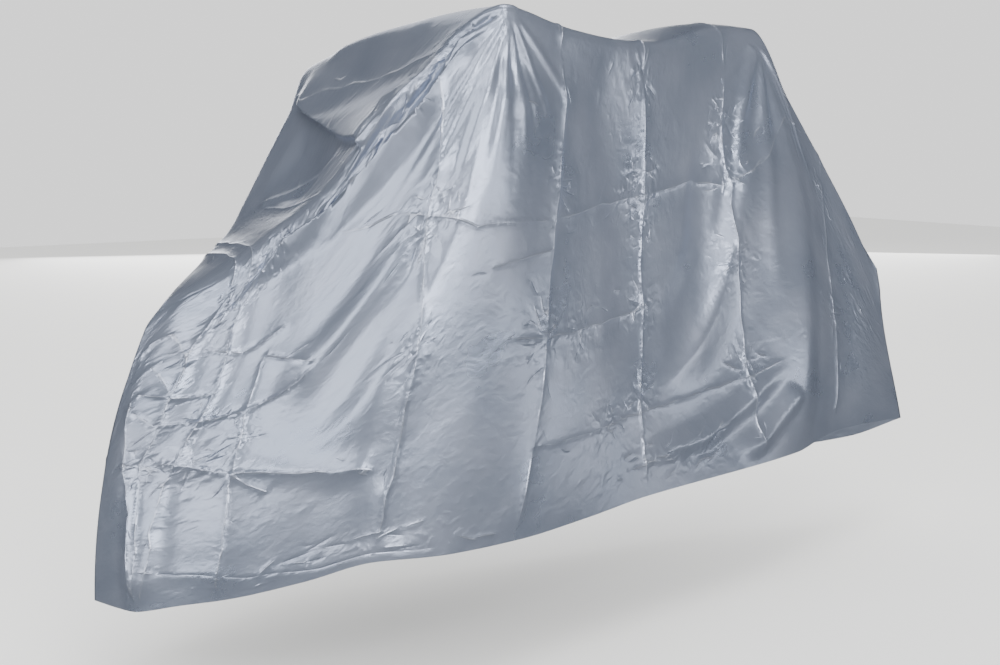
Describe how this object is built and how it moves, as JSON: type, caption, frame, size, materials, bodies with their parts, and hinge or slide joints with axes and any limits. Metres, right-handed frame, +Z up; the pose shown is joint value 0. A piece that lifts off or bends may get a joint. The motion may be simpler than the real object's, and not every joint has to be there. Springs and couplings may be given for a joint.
{
  "type": "fitted bicycle cover",
  "caption": "Thin silver film cover draped over a bicycle from grips to rear tyre, hollow and open below, with deep uneven folds.",
  "frame": {"origin": "the holding point just under the film where it lies on the saddle", "axes": "+X from the bicycle's nose to its tail, +Y from the near side to the far side, +Z up; the ground is at Z -1.094"},
  "size_m": [1.822, 0.6056, 0.9355],
  "materials": {
    "PEVA film": "silver, satin sheen"
  },
  "bodies": {
    "root": {"cover": "PEVA film"}
  },
  "joints": []
}
